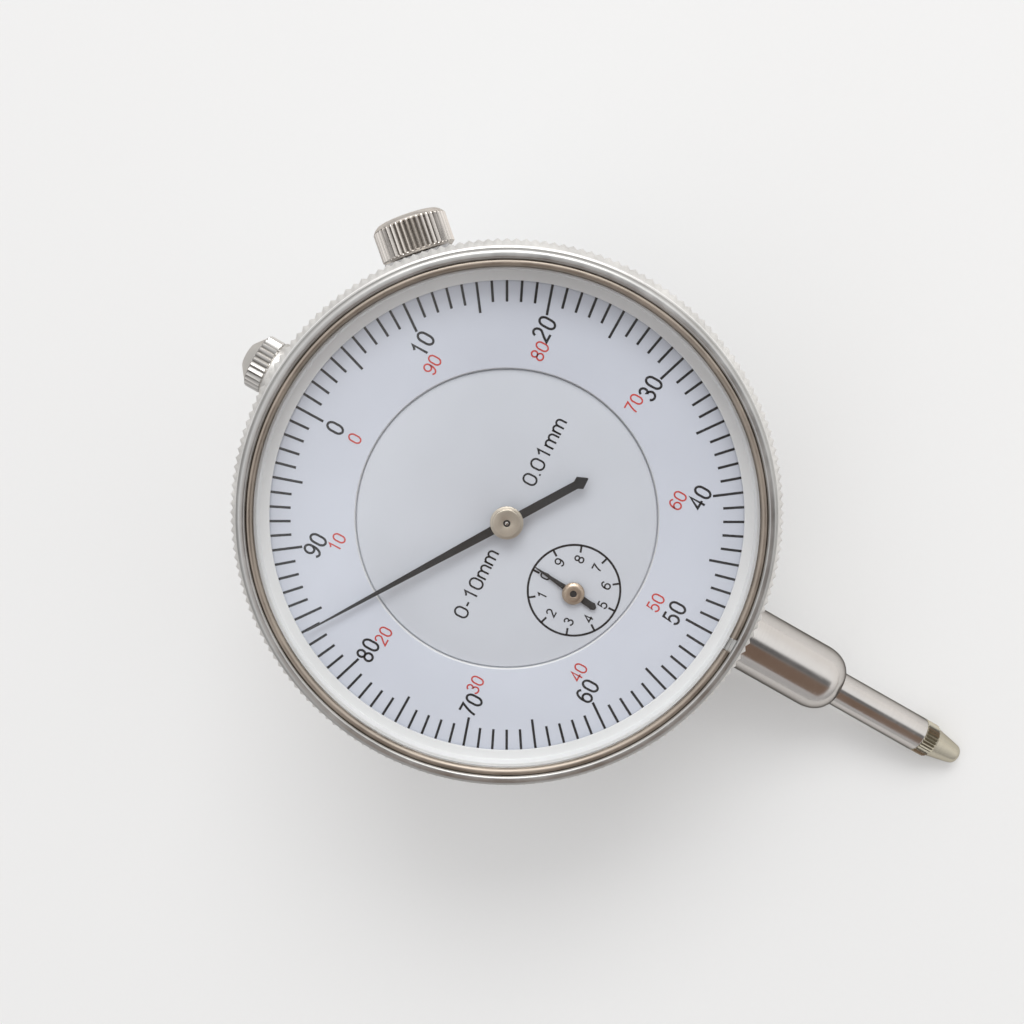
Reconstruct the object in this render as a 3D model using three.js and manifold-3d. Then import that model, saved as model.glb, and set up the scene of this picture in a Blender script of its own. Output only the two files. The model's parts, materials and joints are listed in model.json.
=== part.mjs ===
// Dial indicator, 0.01 mm graduation and 10 mm travel, with a lug on its back.
// Millimetres. The dial faces +Z, the stem points along -Y, 3 o'clock is +X.
// The origin is the middle of the lug's flat end, straight behind the dial's centre.
import * as THREE from "three";
import { mergeVertices } from "three/addons/utils/BufferGeometryUtils.js";
import Module from "manifold-3d";

const wasm = await Module();
wasm.setup();

// ---------------------------------------------------------------- driving dimensions

const RIM_SIDES = 40; // facets round the large rims
const RUN = 0.08; // radial clearance of a running fit
const REST = 0.05; // clearance between faces that are screwed or pressed together
const FREE = 0.3; // clearance between pieces that pass each other

const COVER_Z = 13; // outer face of the rear cover, which is also the lug's length
const STEM_Z = COVER_Z + 6.5; // axis of the stem and the spindle
const DIAL_Z = STEM_Z + 15.3; // printed face of the dial
const LIP_Z = DIAL_Z + 3.7; // front of the bezel

const STEM_R = 4; // the standard 8 mm stem
const SPINDLE_R = 2.15;
const TRAVEL = 10;
const TIP_Y = -63.9; // end of the contact point with the spindle all the way out

const CASE_R = 26.2;
const CASE_BORE = 24.2;
const BEZEL_R = 29.25; // over the knurl
const BEZEL_KNURL_DEPTH = 0.25;
const BEZEL_RIDGES = 60; // one ridge for every three of the real knurl

const RACK_PITCH = 0.625;
const RACK_PINION_TEETH = 16; // one turn for each 10 mm of travel
const GEAR_TEETH = 100;
const CENTRE_PINION_TEETH = 10; // ten turns for each turn of the gear
const ARBOR = new THREE.Vector2(-3.2, -9.93); // counter arbor, seen from the dial's axis
const GEAR_MODULE = (2 * ARBOR.length()) / (GEAR_TEETH + CENTRE_PINION_TEETH);
const RACK_MODULE = RACK_PITCH / Math.PI;
const RACK_LINE_X = ARBOR.x + (RACK_PINION_TEETH * RACK_MODULE) / 2;
const MESH_ANGLE = Math.atan2(-ARBOR.y, -ARBOR.x); // from the counter arbor to the centre

// tooth proportions, in modules
const TIP_HEIGHT = 0.8;
const TIP_HALF = 0.2;
const ROOT_DEPTH = 1.6;

const READING = 84; // hundredths shown with the spindle at rest
const POINTER_ANGLE = THREE.MathUtils.degToRad(90 - READING * 3.6 + 0.9);
const COUNTER_ANGLE = THREE.MathUtils.degToRad(90 - 5);

const CLAMP_CLOCK = THREE.MathUtils.degToRad(41.4); // clock angle of the bezel's clamp screw
const CLAMP_Z = DIAL_Z - 10;

// heights of the movement's three plates, from the back
const BACK_PLATE = [COVER_Z + 3, COVER_Z + 4];
const BRIDGE = [STEM_Z + 2.7, STEM_Z + 3.7];
const FRONT_PLATE = [DIAL_Z - 4.9, DIAL_Z - 3.6];
const WEB = [DIAL_Z - 3.3, DIAL_Z - 1.8]; // the case's own front wall
const PLATE_R = 18;
const PILLAR_R = 1.6;
const PILLARS = [-20, 130, 200].map((degrees) => onCircle(16, degrees));
const COVER_SCREWS = [45, 135, 225, 315].map((degrees) => onCircle(22.1, degrees));

const GEAR_Z = [BRIDGE[1] + 1.4, BRIDGE[1] + 2.1];
const SPRING_X = 3.55; // line of the return spring, beside the spindle
const GUIDE_PIN_Y = 2;
const SPRING_POST_Y = -19.6;

// ---------------------------------------------------------------- materials

const finish = (color, roughness, metalness) =>
  new THREE.MeshStandardMaterial({ color, roughness, metalness });

const CHROMED = finish(0xc9cac6, 0.22, 1);
const POLISHED = finish(0xd3d4d2, 0.18, 1);
const STEEL = finish(0xb9b6b1, 0.25, 1);
const NICKEL = finish(0xb7ac94, 0.3, 1);
const BRASS = finish(0xb99545, 0.35, 1);
const BRONZE = finish(0xa98a66, 0.35, 1);
const SPRING_STEEL = finish(0x8f7f6d, 0.3, 1);
const CASE_PAINT = finish(0xa9acad, 0.45, 0.6);
const DIAL_WHITE = finish(0xc3c8d4, 0.5, 0);
const DISC_WHITE = finish(0xc8cbd0, 0.5, 0);
const RING_WHITE = finish(0xdcdcda, 0.4, 0);
const BLACK = finish(0x161616, 0.5, 0);
const CLEAR = new THREE.MeshStandardMaterial({
  color: 0xf4f8f8,
  roughness: 0.05,
  transparent: true,
  opacity: 0.2,
});

// ---------------------------------------------------------------- shape tools

function onCircle(radius, degrees) {
  const angle = THREE.MathUtils.degToRad(degrees);
  return new THREE.Vector2(radius * Math.cos(angle), radius * Math.sin(angle));
}

/** A solid of revolution about Z. The outline is [radius, z] points, outer side going up. */
function turned(outline, segments = 24) {
  const points = outline.map(([radius, z]) => new THREE.Vector2(radius, z));
  return new THREE.LatheGeometry(points, segments).rotateX(Math.PI / 2);
}

/** A plain rod about Z. */
const rod = (radius, z0, z1, segments = 12) =>
  turned([[0, z0], [radius, z0], [radius, z1], [0, z1]], segments);

/** A tube about Z. */
const tube = (bore, radius, z0, z1, segments = 20) =>
  turned([[bore, z0], [radius, z0], [radius, z1], [bore, z1], [bore, z0]], segments);

/** A flat outline in X and Y, extruded from z0 to z1. */
function plate(shape, z0, z1) {
  const settings = { depth: z1 - z0, bevelEnabled: false };
  return new THREE.ExtrudeGeometry(shape, settings).translate(0, 0, z0);
}

function box([x0, x1], [y0, y1], [z0, z1]) {
  const geometry = new THREE.BoxGeometry(x1 - x0, y1 - y0, z1 - z0);
  return geometry.translate((x0 + x1) / 2, (y0 + y1) / 2, (z0 + z1) / 2);
}

function outlineOf(points) {
  return new THREE.Shape(points.map(([x, y]) => new THREE.Vector2(x, y)));
}

function circle(radius, x = 0, y = 0, sides = 10) {
  const corners = Array.from({ length: sides }, (_, i) => {
    const angle = (2 * Math.PI * i) / sides;
    return [x + radius * Math.cos(angle), y + radius * Math.sin(angle)];
  });
  return outlineOf(corners);
}

/** A disc with round holes, each given as [radius, x, y]. */
function disc(radius, holes, sides = 32) {
  const shape = circle(radius, 0, 0, sides);
  shape.holes = holes.map((hole) => circle(...hole));
  return shape;
}

/** A ring of V-shaped ridges, for a straight knurl. */
function ridged(radius, depth, ridges) {
  const points = [];
  for (let i = 0; i < 2 * ridges; i++) {
    const angle = (Math.PI * i) / ridges;
    const r = i % 2 ? radius - depth : radius;
    points.push([r * Math.cos(angle), r * Math.sin(angle)]);
  }
  return outlineOf(points);
}

/** A spur gear's outline: straight flanks, V-shaped gaps, and a tooth at the angle "first". */
function gearOutline(teeth, module, first) {
  const pitchR = (teeth * module) / 2;
  const rootR = pitchR - ROOT_DEPTH * module;
  const tipR = pitchR + TIP_HEIGHT * module;
  const tipAngle = (TIP_HALF * module) / tipR;
  const points = [];
  for (let i = 0; i < teeth; i++) {
    const middle = first + (2 * Math.PI * i) / teeth;
    const corners = [[rootR, -Math.PI / teeth], [tipR, -tipAngle], [tipR, tipAngle]];
    for (const [radius, offset] of corners) {
      points.push([radius * Math.cos(middle + offset), radius * Math.sin(middle + offset)]);
    }
  }
  return outlineOf(points);
}

/** The Manifold solid of a closed geometry. */
function solid(geometry) {
  const bare = geometry.clone();
  bare.deleteAttribute("normal");
  bare.deleteAttribute("uv");
  const merged = mergeVertices(bare);
  const index = merged.getIndex().array;
  const triangles = [];
  for (let i = 0; i < index.length; i += 3) {
    const [a, b, c] = index.slice(i, i + 3);
    if (a !== b && b !== c && a !== c) triangles.push(a, b, c);
  }
  const mesh = new wasm.Mesh({
    numProp: 3,
    vertProperties: new Float32Array(merged.getAttribute("position").array),
    triVerts: new Uint32Array(triangles),
  });
  return new wasm.Manifold(mesh);
}

/** One geometry made of "added" less "cut", with "last" joined on after the cutting. */
function carved(added, cut = [], last = []) {
  const whole = added.map(solid).reduce((sum, piece) => sum.add(piece));
  const rest = cut.map(solid).reduce((left, piece) => left.subtract(piece), whole);
  const result = last.map(solid).reduce((sum, piece) => sum.add(piece), rest);
  const { vertProperties, triVerts } = result.getMesh();
  const geometry = new THREE.BufferGeometry();
  geometry.setAttribute("position", new THREE.BufferAttribute(vertProperties, 3));
  geometry.setIndex(new THREE.BufferAttribute(triVerts, 1));
  geometry.computeVertexNormals();
  return geometry;
}

/** Turns a geometry made about Z so that it stands about Y, its +Z end towards +Y. */
const alongY = (geometry, z = STEM_Z) => geometry.rotateX(-Math.PI / 2).translate(0, 0, z);

const indicator = new THREE.Group();

function add(name, geometry, material, parent = indicator) {
  const mesh = new THREE.Mesh(geometry, material);
  mesh.name = name;
  parent.add(mesh);
  return mesh;
}

function groupAt(x, y, z = 0) {
  const group = new THREE.Group();
  group.position.set(x, y, z);
  indicator.add(group);
  return group;
}

// ---------------------------------------------------------------- case and rear cover

const CASE_BACK = COVER_Z + 1.7;
const CASE_FRONT = WEB[1];
const SNAP_GROOVE = [CASE_FRONT - 2.05, CASE_FRONT - 1.15];
const UPPER_BUSH_R = 3.4;
const STEM_BOSS_Y = -27.6;
const TOP_BOSS_Y = 28.2;
const SCREW_R = 0.85;

function caseBody() {
  const cup = turned([
    [CASE_BORE, CASE_BACK],
    [CASE_R, CASE_BACK],
    [CASE_R, SNAP_GROOVE[0]],
    [CASE_R - 0.7, SNAP_GROOVE[0]],
    [CASE_R - 0.7, SNAP_GROOVE[1]],
    [CASE_R, SNAP_GROOVE[1]],
    [CASE_R, CASE_FRONT],
    [2, CASE_FRONT],
    [2, WEB[0]],
    [CASE_BORE, WEB[0]],
    [CASE_BORE, CASE_BACK],
  ], RIM_SIDES);
  const bosses = COVER_SCREWS.map(({ x, y }) =>
    rod(2.3, CASE_BACK, CASE_BACK + 6.3, 10).translate(x, y, 0));
  const discPads = [90, 210, 330].map((degrees) => {
    const { x, y } = onCircle(13, degrees);
    return rod(1.5, WEB[1] - 0.5, DIAL_Z - 1.15, 8).translate(x, y, 0);
  });
  const stemBoss = alongY(rod(4.7, STEM_BOSS_Y, -CASE_BORE - 0.2));
  const topBoss = alongY(rod(4.4, CASE_BORE + 0.2, TOP_BOSS_Y));
  const clampBoss = rod(3, CASE_BORE + 0.3, CASE_R + 1.1)
    .rotateX(-Math.PI / 2).rotateZ(-CLAMP_CLOCK).translate(0, 0, CLAMP_Z);

  const screwHoles = COVER_SCREWS.map(({ x, y }) =>
    rod(SCREW_R + REST, CASE_BACK - 1, CASE_BACK + 5.6, 10).translate(x, y, 0));
  const pillarHoles = PILLARS.map(({ x, y }) =>
    rod(0.75, WEB[0] - 1, WEB[1] + 1, 10).translate(x, y, 0));
  const stemHole = alongY(rod(STEM_R + REST, STEM_BOSS_Y - 1, -CASE_BORE + 3, 24));
  const topHole = alongY(rod(UPPER_BUSH_R + REST, CASE_BORE - 3, TOP_BOSS_Y + 1, 20));
  const clampHole = rod(1.1, CASE_BORE - 2, CASE_R + 2)
    .rotateX(-Math.PI / 2).rotateZ(-CLAMP_CLOCK).translate(0, 0, CLAMP_Z);
  const counterHole = rod(1.2, WEB[0] - 1, WEB[1] + 1, 10).translate(ARBOR.x, ARBOR.y, 0);
  const postHole = rod(0.65, WEB[0] - 1, WEB[1] + 1, 10).translate(SPRING_X, SPRING_POST_Y, 0);

  return carved(
    [cup, ...bosses, ...discPads, stemBoss, topBoss, clampBoss],
    [...screwHoles, ...pillarHoles, stemHole, topHole, clampHole, counterHole, postHole],
  );
}

// The lug is an ear 5 mm thick with a 6.5 mm hole, rounded at its end and cut flat at z = 0.
const LUG_HALF = 2.5;
const LUG_END_R = 6.5;
const LUG_HOLE_R = 3.25;
const LUG_HOLE_Z = 6;
const LUG_ROOT = 8.5;

function rearCover() {
  const lid = turned([
    [0, COVER_Z],
    [CASE_R - 0.5, COVER_Z],
    [CASE_R, COVER_Z + 0.4],
    [CASE_R, CASE_BACK - REST],
    [0, CASE_BACK - REST],
  ], RIM_SIDES);
  const flatAngle = Math.asin(LUG_HOLE_Z / LUG_END_R);
  const ear = new THREE.Shape();
  ear.moveTo(-LUG_ROOT, COVER_Z + 0.5);
  ear.lineTo(-LUG_END_R, LUG_HOLE_Z);
  ear.absarc(0, LUG_HOLE_Z, LUG_END_R, Math.PI, Math.PI + flatAngle);
  ear.absarc(0, LUG_HOLE_Z, LUG_END_R, -flatAngle, 0);
  ear.lineTo(LUG_ROOT, COVER_Z + 0.5);
  ear.holes = [circle(LUG_HOLE_R, 0, LUG_HOLE_Z, 24)];
  // the outline's X is the lug's Y, and its Y is the lug's Z
  const lug = plate(ear, -LUG_HALF, LUG_HALF)
    .applyMatrix4(new THREE.Matrix4().makeBasis(
      new THREE.Vector3(0, 1, 0), new THREE.Vector3(0, 0, 1), new THREE.Vector3(1, 0, 0)));
  const holes = COVER_SCREWS.map(({ x, y }) =>
    rod(SCREW_R + 0.3, COVER_Z - 1, CASE_BACK + 1, 10).translate(x, y, 0));
  return carved([lid, lug], holes);
}

/** A slotted cheese-head screw, its head towards -Z and resting on z = 0. */
function slottedScrew(headR, headHeight, shankR, length) {
  const blank = turned([
    [0, -headHeight],
    [headR - 0.15, -headHeight],
    [headR, -headHeight + 0.15],
    [headR, 0],
    [shankR, 0],
    [shankR, length],
    [0, length],
  ], 10);
  const slot = box([-headR - 1, headR + 1], [-0.2, 0.2], [-headHeight - 1, -headHeight / 2]);
  return carved([blank], [slot]);
}

add("case", caseBody(), CASE_PAINT);
add("rear_cover", rearCover(), CASE_PAINT);
COVER_SCREWS.forEach(({ x, y }, i) => {
  const screw = add(`cover_screw_${i + 1}`, slottedScrew(1.7, 0.8, SCREW_R, 6), STEEL);
  screw.position.set(x, y, COVER_Z - REST);
  screw.rotation.z = 0.4 + 0.7 * i;
});

// ---------------------------------------------------------------- stem, spindle and contact

const STEM_SHOULDER_Y = -43.4;
const STEM_END_Y = -45.9;
const BUSH_R = 2.9;

const STEM_INNER_Y = -22.6; // the stem's end inside the case
const STEM_FACE_R = 2.75; // flat end face, from which the shoulder climbs

/** The rounded shoulder between the end face and the full diameter. */
function shoulder() {
  const curve = new THREE.QuadraticBezierCurve(
    new THREE.Vector2(STEM_FACE_R, STEM_END_Y),
    new THREE.Vector2(STEM_R, STEM_END_Y + 0.9),
    new THREE.Vector2(STEM_R, STEM_SHOULDER_Y + 0.4));
  return curve.getPoints(5).map(({ x, y }) => [x, y]);
}

const stemOutline = [
  [BUSH_R + REST, STEM_END_Y + 0.3],
  [SPINDLE_R + 0.2, STEM_END_Y],
  ...shoulder(),
  [STEM_R, STEM_INNER_Y],
  [BUSH_R + REST, STEM_INNER_Y],
];

const guideBush = (y0, y1, radius) =>
  alongY(tube(SPINDLE_R + RUN, radius, y0, y1, 20));

add("stem", alongY(turned([...stemOutline, stemOutline[0]], 24)), STEEL);
add("lower_bush", guideBush(STEM_END_Y + 0.4, -36, BUSH_R), BRONZE);
add("upper_bush", guideBush(22.6, 29.6, UPPER_BUSH_R), BRONZE);

const SPINDLE_END_Y = -58.2;
const CAP_SEAT_Y = 29.6 + 0.1;
const RACK_Y = [ARBOR.y - TRAVEL - 2, ARBOR.y + 2];
const CONTACT_THREAD_R = 1.1;
const CAP_THREAD_R = 1.4;

function spindle() {
  const bar = alongY(turned([
    [0, SPINDLE_END_Y],
    [SPINDLE_R, SPINDLE_END_Y],
    [SPINDLE_R, CAP_SEAT_Y],
    [CAP_THREAD_R, CAP_SEAT_Y],
    [CAP_THREAD_R, CAP_SEAT_Y + 3.4],
    [0, CAP_SEAT_Y + 3.4],
  ], 20), 0);
  const threadHole = alongY(rod(CONTACT_THREAD_R + REST, SPINDLE_END_Y - 1, SPINDLE_END_Y + 5.5), 0);
  const pinHole = rod(0.8, -1.4, 4).rotateY(Math.PI / 2).translate(0, GUIDE_PIN_Y, 0);
  const rackRoot = RACK_LINE_X + ROOT_DEPTH * RACK_MODULE;
  const rackFlat = box([-4, rackRoot], RACK_Y, [-4, 4]);

  // the rack has a gap opposite the pinion's tooth at rest
  const tipX = RACK_LINE_X - TIP_HEIGHT * RACK_MODULE;
  const tipHalf = TIP_HALF * RACK_MODULE;
  const below = Math.floor((ARBOR.y - RACK_Y[0]) / RACK_PITCH);
  const above = Math.floor((RACK_Y[1] - ARBOR.y) / RACK_PITCH);
  const teeth = [[rackRoot + 0.4, RACK_Y[0] - 0.2], [rackRoot, ARBOR.y - below * RACK_PITCH]];
  for (let i = -below; i < above; i++) {
    const y = ARBOR.y + (i + 0.5) * RACK_PITCH;
    teeth.push([tipX, y - tipHalf], [tipX, y + tipHalf], [rackRoot, y + RACK_PITCH / 2]);
  }
  teeth.push([rackRoot + 0.4, RACK_Y[1] + 0.2]);
  const rack = plate(outlineOf(teeth.reverse()), -0.85, 0.85);

  return carved([bar], [threadHole, pinHole, rackFlat], [rack]).translate(0, 0, STEM_Z);
}

function contactPoint() {
  const collarY = SPINDLE_END_Y - REST;
  const body = turned([
    [0, TIP_Y],
    [0.55, TIP_Y],
    [1, TIP_Y + 0.2],
    [1.25, TIP_Y + 0.65],
    [1.95, collarY - 1.8],
    [1.95, collarY],
    [CONTACT_THREAD_R, collarY],
    [CONTACT_THREAD_R, collarY + 5],
    [0, collarY + 5],
  ], 16);
  const knurl = plate(ridged(2.15, 0.2, 20), collarY - 1.7, collarY - 0.05);
  return alongY(carved([body, knurl]));
}

const CAP_FLANGE_R = 3.45;
const CAP_KNURL_R = 3.3;
const CAP_KNURL_Y = [31.9, 33.75];
const CAP_CROWN_Y = 35.2; // flat top of the cone

function liftingCap() {
  const bore = CAP_THREAD_R + REST;
  const seat = CAP_SEAT_Y + REST;
  const bottom = CAP_SEAT_Y + 3.6; // blind end of the threaded hole
  const body = turned([
    [SPINDLE_R, seat],
    [CAP_FLANGE_R, seat],
    [CAP_FLANGE_R, CAP_KNURL_Y[0]],
    [CAP_KNURL_R - 0.2, CAP_KNURL_Y[0]],
    [CAP_KNURL_R - 0.2, CAP_KNURL_Y[1] + REST],
    [1.3, CAP_CROWN_Y],
    [0, CAP_CROWN_Y],
    [0, bottom],
    [bore, bottom],
    [bore, seat],
    [SPINDLE_R, seat],
  ], 24);
  const band = ridged(CAP_KNURL_R, 0.25, 30);
  band.holes = [circle(2.4)];
  return alongY(carved([body, plate(band, CAP_KNURL_Y[0] - REST, CAP_KNURL_Y[1])]));
}

add("spindle", spindle(), STEEL);
add("contact_point", contactPoint(), NICKEL);
add("lifting_cap", liftingCap(), CHROMED);
const guidePin = rod(0.75, -1.3, 7.1).rotateY(Math.PI / 2);
add("guide_pin", guidePin, STEEL).position.set(0, GUIDE_PIN_Y, STEM_Z);

// ---------------------------------------------------------------- guide rail and return spring

const RAIL_X = [4.9, 9.8];
const RAIL_Z = [BACK_PLATE[1] + 0.3, BRIDGE[0] - REST];
const RAIL_Y = [GUIDE_PIN_Y - 1.4, GUIDE_PIN_Y + TRAVEL + 1.4];
const GUIDE_SCREWS = [GUIDE_PIN_Y, GUIDE_PIN_Y + TRAVEL].map((y) => new THREE.Vector2(8.6, y));

function guideRail() {
  const block = box(RAIL_X, RAIL_Y, RAIL_Z);
  const channelHalf = 0.75 + RUN;
  const channel = box(
    [RAIL_X[0] - 1, 7.3], [RAIL_Y[0] - 1, RAIL_Y[1] + 1],
    [STEM_Z - channelHalf, STEM_Z + channelHalf]);
  const holes = GUIDE_SCREWS.map(({ x, y }) =>
    rod(0.6, RAIL_Z[1] - 1.8, RAIL_Z[1] + 1, 8).translate(x, y, 0));
  return carved([block], [channel, ...holes]);
}

add("guide_rail", guideRail(), BRASS);
GUIDE_SCREWS.forEach(({ x, y }, i) => {
  const screw = add(`guide_screw_${i + 1}`, slottedScrew(1, 0.6, 0.5, 2.4), STEEL);
  screw.position.set(x, y, BRIDGE[1] + REST);
  screw.rotation.x = Math.PI;
});

add("spring_post", rod(0.6, STEM_Z - 0.8, WEB[1] - 0.2), STEEL)
  .position.set(SPRING_X, SPRING_POST_Y, 0);

/** A close helix about Y with straight ends on its axis. */
function returnSpring() {
  const [y0, y1] = [SPRING_POST_Y + 0.95, GUIDE_PIN_Y - 1.1];
  const [turns, steps, radius, lead] = [7, 8, 0.95, 1.5];
  const points = [new THREE.Vector3(0, y0, 0)];
  for (let i = 0; i <= turns * steps; i++) {
    const angle = (2 * Math.PI * i) / steps;
    const y = THREE.MathUtils.mapLinear(i, 0, turns * steps, y0 + lead, y1 - lead);
    points.push(new THREE.Vector3(radius * Math.cos(angle), y, radius * Math.sin(angle)));
  }
  points.push(new THREE.Vector3(0, y1, 0));
  const extrudePath = new THREE.CatmullRomCurve3(points);
  const wire = new THREE.Shape().absarc(0, 0, 0.18, 0, 2 * Math.PI);
  const settings = { extrudePath, steps: turns * steps + 8, bevelEnabled: false, curveSegments: 3 };
  return new THREE.ExtrudeGeometry(wire, settings);
}

add("return_spring", returnSpring(), SPRING_STEEL).position.set(SPRING_X, 0, STEM_Z);

// ---------------------------------------------------------------- movement plates

const PIVOT_HOLE = 0.7;
const pillarHoles = PILLARS.map(({ x, y }) => [0.85, x, y]);
const counterPivot = [PIVOT_HOLE, ARBOR.x, ARBOR.y];
const takeupPivot = [PIVOT_HOLE, -ARBOR.x, -ARBOR.y];
const guideHoles = GUIDE_SCREWS.map(({ x, y }) => [0.65, x, y]);

add("movement_back_plate", plate(disc(PLATE_R, [counterPivot, ...pillarHoles]), ...BACK_PLATE), BRASS);
add("movement_bridge", plate(
  disc(PLATE_R, [counterPivot, takeupPivot, [PIVOT_HOLE, 0, 0], ...guideHoles, ...pillarHoles]),
  ...BRIDGE), BRASS);
add("movement_front_plate", plate(
  disc(PLATE_R, [counterPivot, takeupPivot, [PIVOT_HOLE, 0, 0], ...pillarHoles]),
  ...FRONT_PLATE), BRASS);

PILLARS.forEach(({ x, y }, i) => {
  const back = tube(0.8, PILLAR_R, BACK_PLATE[1] + REST, BRIDGE[0] - REST, 12);
  const front = tube(0.8, PILLAR_R, BRIDGE[1] + REST, FRONT_PLATE[0] - REST);
  const screw = slottedScrew(1.4, 0.7, 0.7, WEB[1] - 0.2 - BACK_PLATE[0]);
  add(`back_pillar_${i + 1}`, back, BRASS).position.set(x, y, 0);
  add(`front_pillar_${i + 1}`, front, BRASS).position.set(x, y, 0);
  add(`movement_screw_${i + 1}`, screw, STEEL).position.set(x, y, BACK_PLATE[0] - REST);
});

// ---------------------------------------------------------------- gear train and pointers

const ARBOR_R = 0.6;
const COUNTER_TOP = DIAL_Z + 0.35;
const POINTER_Z = DIAL_Z + 0.65;
const HUB_Z = POINTER_Z + 0.25;

/** An arbor with a pinion cut on it. */
function pinionArbor(z0, z1, teeth, module, first, face) {
  const pinion = plate(gearOutline(teeth, module, first), ...face);
  return carved([rod(ARBOR_R, z0, z1), pinion]);
}

/** A hundred-tooth gear with three round windows, bored for its arbor. */
function largeGear(first) {
  const shape = gearOutline(GEAR_TEETH, GEAR_MODULE, first);
  const windows = [0, 120, 240].map((degrees) => onCircle(5.4, degrees));
  shape.holes = [circle(ARBOR_R + 2 * REST), ...windows.map(({ x, y }) => circle(2.4, x, y))];
  return plate(shape, ...GEAR_Z);
}

const counterLine = groupAt(ARBOR.x, ARBOR.y);
const takeupLine = groupAt(-ARBOR.x, -ARBOR.y);
const rackFace = [STEM_Z - 0.8, STEM_Z + 0.8];
const pinionFace = [GEAR_Z[0] - 0.4, GEAR_Z[1] + 0.4];
const centreFirst = MESH_ANGLE + Math.PI + Math.PI / CENTRE_PINION_TEETH;

add("counter_arbor",
  pinionArbor(BACK_PLATE[0] + 0.1, COUNTER_TOP, RACK_PINION_TEETH, RACK_MODULE, 0, rackFace),
  STEEL, counterLine);
add("counter_gear", largeGear(MESH_ANGLE), BRASS, counterLine);
add("centre_arbor",
  pinionArbor(BRIDGE[0] + 0.2, HUB_Z + 0.45, CENTRE_PINION_TEETH, GEAR_MODULE, centreFirst, pinionFace),
  STEEL);
add("takeup_arbor", rod(ARBOR_R, BRIDGE[0] + 0.2, FRONT_PLATE[1] - 0.2), STEEL, takeupLine);
add("takeup_gear", largeGear(MESH_ANGLE + Math.PI), BRASS, takeupLine);

/** A flat strip wound in a spiral, closed at both ends. */
function spiralStrip(r0, r1, turns, thickness) {
  const steps = 12 * turns;
  const side = (offset) => Array.from({ length: steps + 1 }, (_, i) => {
    const radius = THREE.MathUtils.mapLinear(i, 0, steps, r0, r1) + offset;
    const angle = (2 * Math.PI * turns * i) / steps;
    return [radius * Math.cos(angle), radius * Math.sin(angle)];
  });
  return outlineOf([...side(thickness), ...side(0).reverse()]);
}

const HAIRSPRING_Z = [GEAR_Z[1] + 1.2, GEAR_Z[1] + 2];
add("hairspring", plate(spiralStrip(1.2, 6, 5, 0.15), ...HAIRSPRING_Z), SPRING_STEEL, takeupLine);
add("hairspring_collet", tube(ARBOR_R + REST, 1.1, ...HAIRSPRING_Z, 12), BRASS, takeupLine);
add("hairspring_stud", rod(0.5, HAIRSPRING_Z[0], FRONT_PLATE[0] - REST), BRASS)
  .position.set(-ARBOR.x + 6.95, -ARBOR.y, 0);

const MAIN_NEEDLE = [
  [-9.65, -0.06], [-8.7, -0.73], [-8.2, -0.42], [0, -0.46], [1.5, -0.46], [24.2, -0.06],
  [24.2, 0.06], [1.5, 0.46], [0, 0.46], [-8.2, 0.42], [-8.7, 0.73], [-9.65, 0.06],
];
const SMALL_NEEDLE = [
  [-2.5, -0.42], [-2.2, -0.36], [0, -0.36], [4.9, -0.05],
  [4.9, 0.05], [0, 0.36], [-2.2, 0.36], [-2.5, 0.42], [-2.9, 0.15], [-2.9, -0.15],
];

/** A flat needle with a round eye, lying along +X until it is turned to its reading. */
function needle(outline, eye, bore, z0, z1, angle) {
  const eyelet = carved(
    [plate(outlineOf(outline), z0, z1), rod(eye, z0, z1, 20)], [rod(bore, z0 - 1, z1 + 1, 20)]);
  return eyelet.rotateZ(angle);
}

const COUNTER_POINTER_Z = DIAL_Z - 0.15;
add("counter_pointer",
  needle(SMALL_NEEDLE, 1.1, 0.85, COUNTER_POINTER_Z, COUNTER_POINTER_Z + 0.15, COUNTER_ANGLE),
  BLACK, counterLine);
add("counter_hub", turned([
  [ARBOR_R + REST, COUNTER_POINTER_Z - 0.15],
  [0.8, COUNTER_POINTER_Z - 0.15],
  [0.8, COUNTER_POINTER_Z + 0.2],
  [1.2, COUNTER_POINTER_Z + 0.2],
  [1.2, COUNTER_POINTER_Z + 0.35],
  [0.85, COUNTER_TOP + 0.1],
  [ARBOR_R + REST, COUNTER_TOP + 0.1],
  [ARBOR_R + REST, COUNTER_POINTER_Z - 0.15],
], 14), BRONZE, counterLine);
add("main_pointer", needle(MAIN_NEEDLE, 1.3, 1, POINTER_Z, POINTER_Z + 0.2, POINTER_ANGLE), BLACK);
add("pointer_hub", turned([
  [ARBOR_R + REST, POINTER_Z - 0.1],
  [0.95, POINTER_Z - 0.1],
  [0.95, HUB_Z],
  [1.75, HUB_Z],
  [1.75, HUB_Z + 0.2],
  [1.55, HUB_Z + 0.25],
  [1.5, HUB_Z + 0.55],
  [ARBOR_R + REST, HUB_Z + 0.55],
  [ARBOR_R + REST, POINTER_Z - 0.1],
], 18), NICKEL);

// ---------------------------------------------------------------- dial, crystal and bezel

const DIAL_SPLIT_R = 15.9; // between the fixed disc and the ring that turns with the bezel
const DISC_Z = [DIAL_Z - 0.85, DIAL_Z - 0.35];
const SHELF_Z = [CASE_FRONT + FREE, DIAL_Z - 0.8];
const SEAT_BORE = 24.85;
const BEZEL_BORE = 26.8;
const LIP_BORE = 26.9;
const CRYSTAL_Z = [DIAL_Z + 1.75, DIAL_Z + 2.55];
const WIRE_Z = DIAL_Z + 3.05;
const WIRE_R = 0.45;

add("inner_dial", plate(
  disc(DIAL_SPLIT_R - 0.1, [[1.1, 0, 0], [1.1, ARBOR.x, ARBOR.y]], RIM_SIDES),
  ...DISC_Z), DISC_WHITE);
add("outer_dial", tube(DIAL_SPLIT_R + 0.15, 26.4, DIAL_Z - 0.5, DIAL_Z, RIM_SIDES), DIAL_WHITE);

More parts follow.
